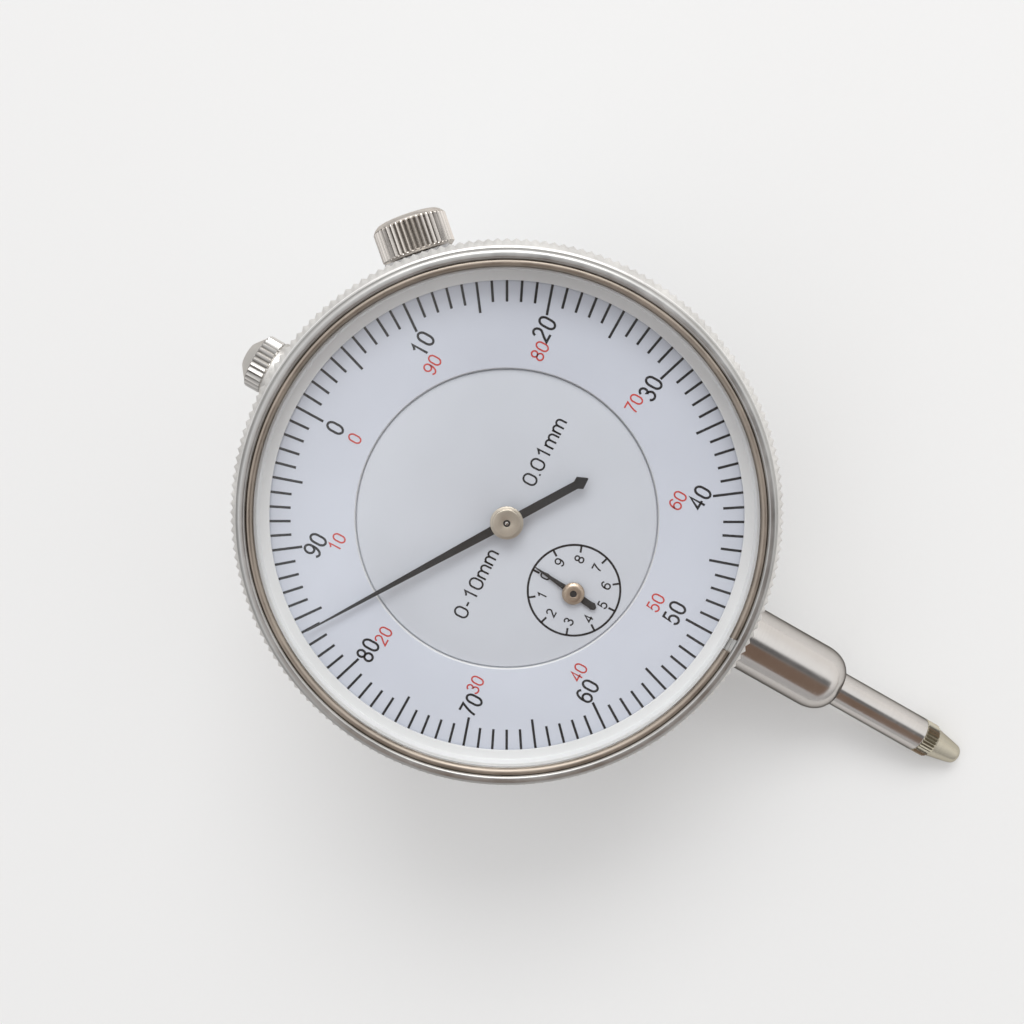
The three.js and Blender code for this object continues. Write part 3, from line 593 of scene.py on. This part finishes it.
def bezel_ring():
    """The bezel: a skirt, a knurled band with a steep matte shoulder, and a turned lip."""
    skirt_z, band_z, shoulder_z = low("bezel").z, DIAL_Z - 3.2, DIAL_Z + 0.4
    wall_r, band_r = 28.2, 28.4
    outline = rounded([
        (26.5, skirt_z, 0.15),
        (wall_r, skirt_z, 0.35),
        (wall_r, band_z - 0.25, 0.1),
        (band_r, band_z - 0.25, 0.05),
        (BEZEL_R, band_z + 0.3, 0.1),
        (BEZEL_R, shoulder_z, 0.1),
        (band_r, DIAL_Z + 1.85, 0.1),
        (28.1, DIAL_Z + 1.95, 0.1),
        (27.95, LIP_Z - 0.25, 0.25),
        (27.6, LIP_Z, 0.15),
        (27.05, LIP_Z, 0.12),
        (26.9, DIAL_Z + 3.45, 0.05),
        (27.2, DIAL_Z + 3.3, 0.05),
        (27.2, DIAL_Z + 2.8, 0.05),
        (26.8, DIAL_Z + 2.55, 0.05),
        (26.8, DIAL_Z - 0.8, 0.05),
        (25.2, DIAL_Z - 0.8, 0.1),
        (25.2, DIAL_Z - 1.5, 0.1),
        (26.5, DIAL_Z - 1.5, 0.1),
    ], 3)
    wave = knurl(BEZEL_RIDGES, 0.3, band_z - 0.3, LIP_Z, band_r, BEZEL_R)
    ring = lathe("bezel_ring", outline, 8 * BEZEL_RIDGES, wave)
    place(ring, "bezel", BEZEL_METAL, "bezel_metal", "bezel")
    ring.data.materials.append(BEZEL_LIP)
    for face in ring.data.polygons:
        face.material_index = int(face.center.z > (DIAL_Z + 1.9) * MM)


def crystal_window():
    bottom, top = low("crystal").z, high("crystal").z
    outline = rounded([(0, bottom), (26.4, bottom, 0.1), (26.4, top, 0.2), (0, top)], 3)
    window = lathe("crystal_window", outline, 192)
    window.visible_shadow = False
    window.visible_diffuse = False
    place(window, "bezel", CRYSTAL, "crystal", "crystal")


def seat_ring():
    bottom, top = low("crystal_seat_ring").z, high("crystal_seat_ring").z
    outline = rounded([
        (24.87, bottom, 0.05), (26.5, bottom, 0.05), (26.5, top, 0.05), (26.05, top, 0.05),
        (25.9, DIAL_Z + 0.62, 0.1), (24.87, DIAL_Z + 0.56, 0.1),
    ], 3)
    place(lathe("seat_ring", outline, 240), "bezel", RING_PAINT, "ring_white", "crystal_seat_ring")


def retaining_wire():
    """A round wire bent into a ring, with a gap at 6 o'clock and flat ends."""
    middle, wire_r, sides, steps = 26.6, 0.44, 20, 360
    half_gap, gap_turn = math.radians(1.6), math.radians(-1.4)
    points, faces = [], []
    for i in range(steps + 1):
        swept = half_gap + (TAU - 2 * half_gap) * i / steps
        clock = math.pi + swept + gap_turn
        for k in range(sides):
            around = TAU * k / sides
            r = middle + wire_r * math.cos(around)
            z = DIAL_Z + 3.05 + wire_r * math.sin(around)
            points.append((r * math.sin(clock), r * math.cos(clock), z))
    for i in range(steps):
        for k in range(sides):
            n = (k + 1) % sides
            faces.append((i * sides + k, i * sides + n, (i + 1) * sides + n, (i + 1) * sides + k))
    faces += [tuple(range(sides)), tuple(range(steps * sides, (steps + 1) * sides))]
    wire = mesh_object("retaining_wire", points, faces)
    place(wire, "bezel", WIRE_STEEL, "spring_steel", "crystal_retaining_wire")


def dials():
    """The ring of marks with a white inner edge, and the disc with a ledge under that edge."""
    inner = low("outer_dial").z
    wall_r, edge_r = DISC_R + 0.13, 16.03
    outline = rounded([
        (wall_r, inner, 0.04), (26.4, inner), (26.4, DIAL_Z), (edge_r, DIAL_Z, 0.03),
        (wall_r, DIAL_Z - 0.24, 0.03),
    ], 3)
    ring = lathe("dial_ring", outline, 256)
    place(ring, "bezel", DIAL_PAINT, "dial_white", "outer_dial")
    ring.data.materials.append(RING_PAINT)
    for face in ring.data.polygons:
        face.material_index = int(face.center.xy.length < (edge_r - 0.01) * MM)
    back = low("inner_dial").z
    face = rounded([
        (1.1, back), (DISC_R + 0.7, back), (DISC_R + 0.7, DISC_Z - 0.25), (DISC_R, DISC_Z - 0.25),
        (DISC_R, DISC_Z, 0.12), (1.1, DISC_Z, 0.04),
    ], 3)
    disc = lathe("dial_disc", face, 256)
    hole = cylinder("hole", 1.1, back - 1, DISC_Z + 1)
    combined(disc, [moved(hole, ARBOR_AXIS)], "DIFFERENCE")
    place(disc, "case", DISC_PAINT, "disc_white", "inner_dial")


def hubs():
    bore = 0.38
    main = rounded([
        (0.65, HUB_Z - 0.35), (0.95, HUB_Z - 0.35), (0.95, HUB_Z), (1.75, HUB_Z, 0.08),
        (1.75, HUB_Z + 0.2, 0.12), (1.5, HUB_Z + 0.24, 0.04), (1.5, HUB_Z + 0.55, 0.14),
        (bore, HUB_Z + 0.55, 0.05), (bore, HUB_Z + 0.46), (0.65, HUB_Z + 0.46),
    ])
    place(lathe("pointer_cap", main, 96), "pointer_train", HUB_NICKEL, "nickel", "pointer_hub")
    seat = high("centre_arbor").z
    pin = rounded([(0, seat), (0.2, seat), (0.2, seat + 0.13, 0.1), (0, seat + 0.15)])
    place(lathe("pointer_pin", pin, 32), "pointer_train", STEM_STEEL, "arbor_steel")
    shade = cylinder("pointer_hub_recess", bore + 0.05, seat, seat + 0.02)
    place(shade, "pointer_train", NEEDLE_BLACK, "pointer_black")
    base = low("counter_hub").z
    small = rounded([
        (0.65, base), (0.8, base), (0.8, base + 0.35), (1.2, base + 0.35, 0.05),
        (1.2, base + 0.5, 0.1), (0.9, base + 0.74, 0.2), (0.37, base + 0.75, 0.05),
        (0.37, base + 0.66), (0.65, base + 0.66),
    ])
    cap = moved(lathe("counter_cap", small, 80), ARBOR_AXIS)
    place(cap, "counter_train", HUB_BRONZE, "bronze", "counter_hub")
    seat = high("counter_arbor").z
    shade = moved(cylinder("counter_hub_recess", 0.42, seat, seat + 0.005), ARBOR_AXIS)
    place(shade, "counter_train", NEEDLE_BLACK, "pointer_black")


# ------------------------------------------------------------ stem, spindle and contact

def stem():
    shoulder = bend(Vector((2.75, STEM_END)), Vector((STEM_R, STEM_END + 0.9)),
                    Vector((STEM_R, STEM_END + 2.9)), 12)
    outline = rounded([
        (2.95, STEM_END + 0.3), (2.35, STEM_END, 0.08), *shoulder,
        (STEM_R, STEM_INNER, 0.3), (2.95, STEM_INNER),
    ])
    body = moved(lathe("stem_tube", outline, 160), STEM_AXIS)
    place(body, "case", STEM_STEEL, "stem_steel", "stem")
    for name, node, radius in (("stem_bush", "lower_bush", 2.9), ("top_bush", "upper_bush", 3.4)):
        y0, y1 = low(node).y, high(node).y
        sleeve = rounded([
            (2.23, y0, 0.12), (radius, y0, 0.15), (radius, y1, 0.2), (2.23, y1, 0.12),
        ])
        place(moved(lathe(name, sleeve, 96), STEM_AXIS), "case", BUSH_BRONZE, "bronze", node)


RACK_PITCH = 0.625
RACK_PINION_TEETH = 16
RACK_LINE_X = ARBOR.x + RACK_PINION_TEETH * RACK_PITCH / TAU


def spindle():
    neck = high("spindle").y
    seat = CAP_SEAT - 0.05
    outline = rounded([
        (0, SPINDLE_END), (SPINDLE_R, SPINDLE_END, 0.12), (SPINDLE_R, seat, 0.15),
        (CAP_THREAD_R, seat), (CAP_THREAD_R, neck, 0.2), (0, neck),
    ])
    bar = moved(lathe("spindle_bar", outline, 128), STEM_AXIS)
    module = RACK_PITCH / math.pi
    root = RACK_LINE_X + 1.6 * module
    rack_low, rack_high = ARBOR.y - 12, ARBOR.y + 2
    flat = prism("flat", [(-4, rack_low), (root, rack_low), (root, rack_high), (-4, rack_high)],
                 STEM_Z - 4, STEM_Z + 4)
    combined(bar, [flat], "DIFFERENCE")
    crest = RACK_LINE_X - 0.8 * module
    below, above = 19, 3
    teeth = [(root + 0.4, rack_low - 0.2), (root, ARBOR.y - below * RACK_PITCH)]
    for i in range(-below, above):
        y = ARBOR.y + (i + 0.5) * RACK_PITCH
        teeth += [(crest, y - 0.2 * module), (crest, y + 0.2 * module), (root, y + RACK_PITCH / 2)]
    teeth.append((root + 0.4, rack_high + 0.2))
    combined(bar, [prism("teeth", teeth, STEM_Z - 0.85, STEM_Z + 0.85)], "UNION")
    place(bar, "spindle", STEM_STEEL, "stem_steel", "spindle")


def contact_point():
    collar = TIP_COLLAR
    thread_end = high("contact_point").y
    outline = rounded([
        (0, TIP_Y), (0.62, TIP_Y, 0.3), (1.12, TIP_Y + 0.28, 0.3), (1.3, TIP_Y + 0.9, 0.3),
        (1.9, collar - 1.8, 0.05), (2.15, collar - 1.68, 0.02), (2.15, collar - 0.1, 0.02),
        (1.95, collar, 0.02), (TIP_THREAD_R, collar), (TIP_THREAD_R, thread_end, 0.15),
        (0, thread_end),
    ])
    wave = knurl(TIP_RIDGES, 0.24, collar - 1.72, collar - 0.08, 2.05, 2.15)
    tip = moved(lathe("contact_tip", outline, 8 * TIP_RIDGES, wave), STEM_AXIS)
    place(tip, "spindle", TIP_NICKEL, "nickel", "contact_point")


def lifting_cap():
    bottom = CAP_SEAT + 3.55
    knurl_low, knurl_high = CAP_KNURL
    outline = rounded([
        (SPINDLE_R, CAP_SEAT, 0.05), (3.45, CAP_SEAT, 0.2), (3.45, knurl_low - 0.15, 0.15),
        (3.05, knurl_low - 0.1, 0.05), (3.3, knurl_low + 0.1, 0.02), (3.3, knurl_high, 0.02),
        (3.0, knurl_high + 0.15, 0.05), (1.4, CAP_CROWN - 0.05, 0.25), (0, CAP_CROWN),
        (0, bottom), (1.45, bottom), (1.45, CAP_SEAT, 0.05),
    ])
    wave = knurl(CAP_RIDGES, 0.28, knurl_low + 0.05, knurl_high + 0.05, 3.2, 3.3)
    cap = moved(lathe("top_cap", outline, 12 * CAP_RIDGES, wave), STEM_AXIS)
    place(cap, "spindle", CAP_PLATE, "plated_knob", "lifting_cap")


def clamp_knob():
    inner, outer, radius = KNOB_INNER, KNOB_OUTER, KNOB_R
    outline = rounded([
        (0, 24.8), (1, 24.8, 0.2), (1, inner), (3.75, inner, 0.15), (3.95, inner + 0.25, 0.05),
        (radius, inner + 0.4, 0.02), (radius, outer - 0.75, 0.02), (4.0, outer - 0.45, 0.25),
        (3.5, outer, 0.45), (2.4, outer, 0.1), (2.25, outer - 0.12, 0.1), (0, outer - 0.12),
    ])
    wave = knurl(KNOB_RIDGES, 0.33, inner + 0.35, outer - 0.7, 4.08, radius)
    knob = moved(lathe("clamp_knob", outline, 8 * KNOB_RIDGES, wave), KNOB_AXIS)
    place(knob, "clamp_screw", KNOB_PLATE, "plated_knob", "clamp_screw")


# ------------------------------------------------------------ case and rear cover

COVER_SCREWS = [at_clock(22.1, share) for share in (0.125, 0.375, 0.625, 0.875)]
COVER_Z = CASE_BACK - 1.7


def case_shell():
    """The case: a deep cup with a groove for the snap ring and bosses for stem, bush and clamp."""
    bore = 24.2
    web = CASE_FRONT - 1.5
    groove = (CASE_FRONT - 2.05, CASE_FRONT - 1.15)
    shell = lathe("case_shell", rounded([
        (bore, CASE_BACK), (CASE_R, CASE_BACK, 0.25), (CASE_R, groove[0], 0.05),
        (CASE_R - 0.7, groove[0]), (CASE_R - 0.7, groove[1]), (CASE_R, groove[1], 0.05),
        (CASE_R, CASE_FRONT, 0.2), (2, CASE_FRONT), (2, web), (bore, web, 0.8),
    ]), 192)
    stem_boss = lathe("boss", rounded([
        (0, -27.6), (4.7, -27.6, 0.35), (4.7, -24.4), (0, -24.4)]), 96)
    top_boss = lathe("boss", rounded([
        (0, 24.4), (4.4, 24.4), (4.4, high("case").y, 0.35), (0, high("case").y)]), 96)
    clamp_boss = lathe("boss", rounded([
        (0, 24.5), (3, 24.5), (3, CASE_R + 1.1, 0.25), (0, CASE_R + 1.1)]), 72)
    combined(shell, [moved(stem_boss, STEM_AXIS), moved(top_boss, STEM_AXIS),
                     moved(clamp_boss, KNOB_AXIS)], "UNION")
    screw_holes = [moved(cylinder("hole", 0.9, CASE_BACK - 1, CASE_BACK + 2, 32),
                         Matrix.Translation((x, y, 0))) for x, y in COVER_SCREWS]
    combined(shell, [
        moved(cylinder("hole", STEM_R + 0.05, -29, -21, 96), STEM_AXIS),
        moved(cylinder("hole", 3.45, 21, 30, 96), STEM_AXIS),
        moved(cylinder("hole", 1.1, 22, 29, 48), KNOB_AXIS),
        moved(cylinder("hole", 1.2, web - 1, CASE_FRONT + 1, 48), ARBOR_AXIS),
        *screw_holes,
    ], "DIFFERENCE")
    place(shell, "case", CASE_PAINT, "case_paint", "case")


def back_cover():
    """The rear cover with its lug: an ear 5 mm thick, its end round and cut flat."""
    hole_z, end_r, root = 6, 6.5, 8.5
    lid = lathe("back_cover", rounded([
        (0, COVER_Z), (CASE_R - 0.1, COVER_Z, 0.5), (CASE_R, CASE_BACK - 0.05, 0.1),
        (0, CASE_BACK - 0.05),
    ]), 192)
    flat = math.degrees(math.asin(hole_z / end_r))
    ear = [(-root, COVER_Z + 0.5), *arc(0, hole_z, end_r, end_r, 180, 180 + flat, 12),
           *arc(0, hole_z, end_r, end_r, 360 - flat, 360, 12), (root, COVER_Z + 0.5)]
    lug = prism("lug", ear, -2.5, 2.5)
    combined(lug, [moved(cylinder("hole", 3.25, -4, 4, 72), Matrix.Translation((0, hole_z, 0)))],
             "DIFFERENCE")
    bevelled(lug, 0.3)
    turn = Matrix(((0, 0, 1, 0), (1, 0, 0, 0), (0, 1, 0, 0), (0, 0, 0, 1)))
    combined(lid, [moved(lug, turn)], "UNION")
    holes = [moved(cylinder("hole", 1.15, COVER_Z - 1, CASE_BACK + 1, 48),
                   Matrix.Translation((x, y, 0))) for x, y in COVER_SCREWS]
    combined(lid, holes, "DIFFERENCE")
    place(lid, "case", CASE_PAINT, "case_paint", "rear_cover")


def cover_screw(index):
    """A slotted cheese-head screw, its head on the rear cover."""
    node = f"cover_screw_{index}"
    middle = (low(node) + high(node)) / 2
    head, seat, end = low(node).z, low(node).z + 0.8, high(node).z
    screw = lathe(node + "_turned", rounded([
        (0, head), (1.7, head, 0.2), (1.7, seat, 0.05), (0.85, seat), (0.85, end, 0.15), (0, end)
    ]), 64)
    slot = prism("slot", [(-3, -0.2), (3, -0.2), (3, 0.2), (-3, 0.2)], head - 1, head + 0.42)
    combined(screw, [moved(slot, Matrix.Rotation(0.4 + 0.7 * index, 4, "Z"))], "DIFFERENCE")
    moved(screw, Matrix.Translation((middle.x, middle.y, 0)))
    place(screw, "case", COVER_SCREW_STEEL, "screw_steel", node)


# ------------------------------------------------------------ the CAD nodes that stay

SLOT_MATERIALS = {
    "movement_brass": BRASS_SHEET,
    "screw_steel": PLAIN_STEEL,
    "arbor_steel": PLAIN_STEEL,
    "spring_steel": WIRE_STEEL,
    "pointer_black": NEEDLE_BLACK,
}


def dress_nodes():
    """Gives every CAD node that still shows its material, and a small bevel to the edges of the
    two pointers and the clamp shoe.
    """
    slots = {row["node"]: row["material_slot"] for row in frame["record"]["subparts"]}
    for name, node in frame["nodes"].items():
        if node.hide_render:
            continue
        node.data.materials.clear()
        node.data.materials.append(SLOT_MATERIALS[slots[name]])
    for name, width in (("main_pointer", 0.05), ("counter_pointer", 0.03), ("clamp_shoe", 0.25)):
        bevel = frame["nodes"][name].modifiers.new("bevel", "BEVEL")
        bevel.width = width * MM
        bevel.segments = 2
        bevel.limit_method = "ANGLE"
        bevel.angle_limit = math.radians(35)


# ------------------------------------------------------------ studio

CAMERA_AT = Vector((15.73, 8.02, DIAL_Z + 115.17))
LOOK_AT = Vector((1.12, 0.01, DIAL_Z))
UP_CLOCK = math.radians(60.26)  # the direction on the dial that is upright in the view
LENS = 38.63


def camera():
    """Looks down on the dial from a little to the upper right."""
    data = bpy.data.cameras.new("camera")
    data.lens = LENS
    data.sensor_width = 36
    data.clip_start = 0.005
    obj = bpy.data.objects.new("camera", data)
    bpy.context.scene.collection.objects.link(obj)
    look = (LOOK_AT - CAMERA_AT).normalized()
    upright = Vector((math.sin(UP_CLOCK), math.cos(UP_CLOCK), 0))
    right = look.cross(upright).normalized()
    up = right.cross(look)
    facing = Matrix((right, up, -look)).transposed().to_4x4()
    obj.matrix_world = Matrix.Translation(CAMERA_AT * MM) @ facing
    bpy.context.scene.camera = obj


FLOOR_TILT = math.atan2(18.2, 60.4)  # the part leans on its lug's edge and its contact point
FLOOR_R = 200


def floor():
    """A pale sheet that fades out at its rim."""
    sheet = lathe("floor", [(0, -0.5), (FLOOR_R, -0.5), (FLOOR_R, 0), (0, 0)], 96)
    lean = Matrix.Translation((0, -2.5, 0)) @ Matrix.Rotation(-FLOOR_TILT, 4, "X")
    sheet.matrix_world = Matrix.Translation(lean.translation * MM) @ lean.to_3x3().to_4x4()
    material, tree, shader, position = new_material("floor_paper")
    grain = noise(tree, position, 1.5, 3.0, 0.5)
    dark, light = shades((0.675, 0.675, 0.67), 0.006)
    paper = blend_colours(tree, grain, dark, light)
    connect(tree, paper, shader, "Base Color")
    connect(tree, paper, shader, "Emission Color")
    shader.inputs["Emission Strength"].default_value = 0.235
    shader.inputs["Roughness"].default_value = 0.7
    rim = make(tree, "ShaderNodeVectorMath", {0: position}, 1, operation="LENGTH")
    connect(tree, remap(tree, rim, FLOOR_R * 0.75, FLOOR_R * 0.98, 1.0, 0.0), shader, "Alpha")
    sheet.data.materials.append(material)


KEY_FROM = Vector((0.66, 0.38, 0.65))


def key_light():
    """One large soft window to the east and a little north."""
    data = bpy.data.lights.new("window", "AREA")
    data.shape = "RECTANGLE"
    data.size, data.size_y = 0.90, 0.60
    data.energy = 8.2
    data.color = (1.0, 1.0, 0.995)
    obj = bpy.data.objects.new("window", data)
    bpy.context.scene.collection.objects.link(obj)
    obj.location = KEY_FROM * 1.4
    obj.rotation_mode = "QUATERNION"
    obj.rotation_quaternion = KEY_FROM.to_track_quat("Z", "Y")


def soft_patch(tree, across, along, box, softness):
    """1 inside a box of ceiling and 0 outside, with a soft edge."""
    x0, x1, y0, y1 = box
    share = 1.0
    sides = ((across, x0, 0.0, 1.0), (across, x1, 1.0, 0.0),
             (along, y0, 0.0, 1.0), (along, y1, 1.0, 0.0))
    for value, edge, before, after in sides:
        step = remap(tree, value, edge - softness, edge + softness, before, after)
        share = calc(tree, "MULTIPLY", share, step)
    return share


FAR_WALL = (0.56, 0.56, 0.57, 1)
WINDOW_WALL = (1.06, 1.045, 1.035, 1)
CEILING = (1.16, 1.17, 1.19, 1)
ROOM_FLOOR = (0.52, 0.52, 0.52, 1)
SOUTH_WALL = (0.16, 0.15, 0.14, 1)
BROWN_CARD, BROWN_CARD_BOX = (0.24, 0.165, 0.125, 1), (-1.5, -0.05, -1.1, 0.1)
DARK_CARD, DARK_CARD_BOX = (0.15, 0.15, 0.155, 1), (-0.08, 0.30, -1.0, 0.15)


def world():
    """A pale room, brighter on the window's side, a dark card overhead and a brown one beside."""
    room = bpy.data.worlds.new("room")
    room.use_nodes = True
    bpy.context.scene.world = room
    tree = room.node_tree
    direction = make(tree, "ShaderNodeTexCoord", output=0)
    east, north, rise = make(tree, "ShaderNodeSeparateXYZ", {0: direction}).node.outputs
    height = calc(tree, "MAXIMUM", rise, 0.02)
    across = calc(tree, "DIVIDE", east, height)
    along = calc(tree, "DIVIDE", north, height)
    walls = blend_colours(tree, remap(tree, east, -0.25, 0.3, 0.0, 1.0), FAR_WALL, WINDOW_WALL)
    colour = blend_colours(tree, remap(tree, rise, 0.4, 0.8, 0.0, 1.0), walls, CEILING)
    colour = blend_colours(tree, remap(tree, rise, 0.06, -0.06, 0.0, 1.0), colour, ROOM_FLOOR)
    south = calc(tree, "MULTIPLY", remap(tree, north, -0.75, -0.92, 0.0, 1.0),
                 remap(tree, rise, 0.35, 0.15, 0.0, 1.0))
    colour = blend_colours(tree, south, colour, SOUTH_WALL)
    above = remap(tree, rise, 0.0, 0.1, 0.0, 1.0)
    for tint, box in ((BROWN_CARD, BROWN_CARD_BOX), (DARK_CARD, DARK_CARD_BOX)):
        share = calc(tree, "MULTIPLY", soft_patch(tree, across, along, box, 0.06), above)
        colour = blend_colours(tree, share, colour, tint)
    background = tree.nodes["Background"]
    tree.links.new(colour, background.inputs["Color"])
    background.inputs["Strength"].default_value = 0.95


# ------------------------------------------------------------ build

bezel_ring()
crystal_window()
seat_ring()
retaining_wire()
dials()
dial_marks()
disc_marks()
hubs()
stem()
spindle()
contact_point()
lifting_cap()
clamp_knob()
case_shell()
back_cover()
for screw_index in range(1, 5):
    cover_screw(screw_index)
dress_nodes()

camera()
floor()
key_light()
world()
bpy.context.scene.view_settings.view_transform = "Standard"
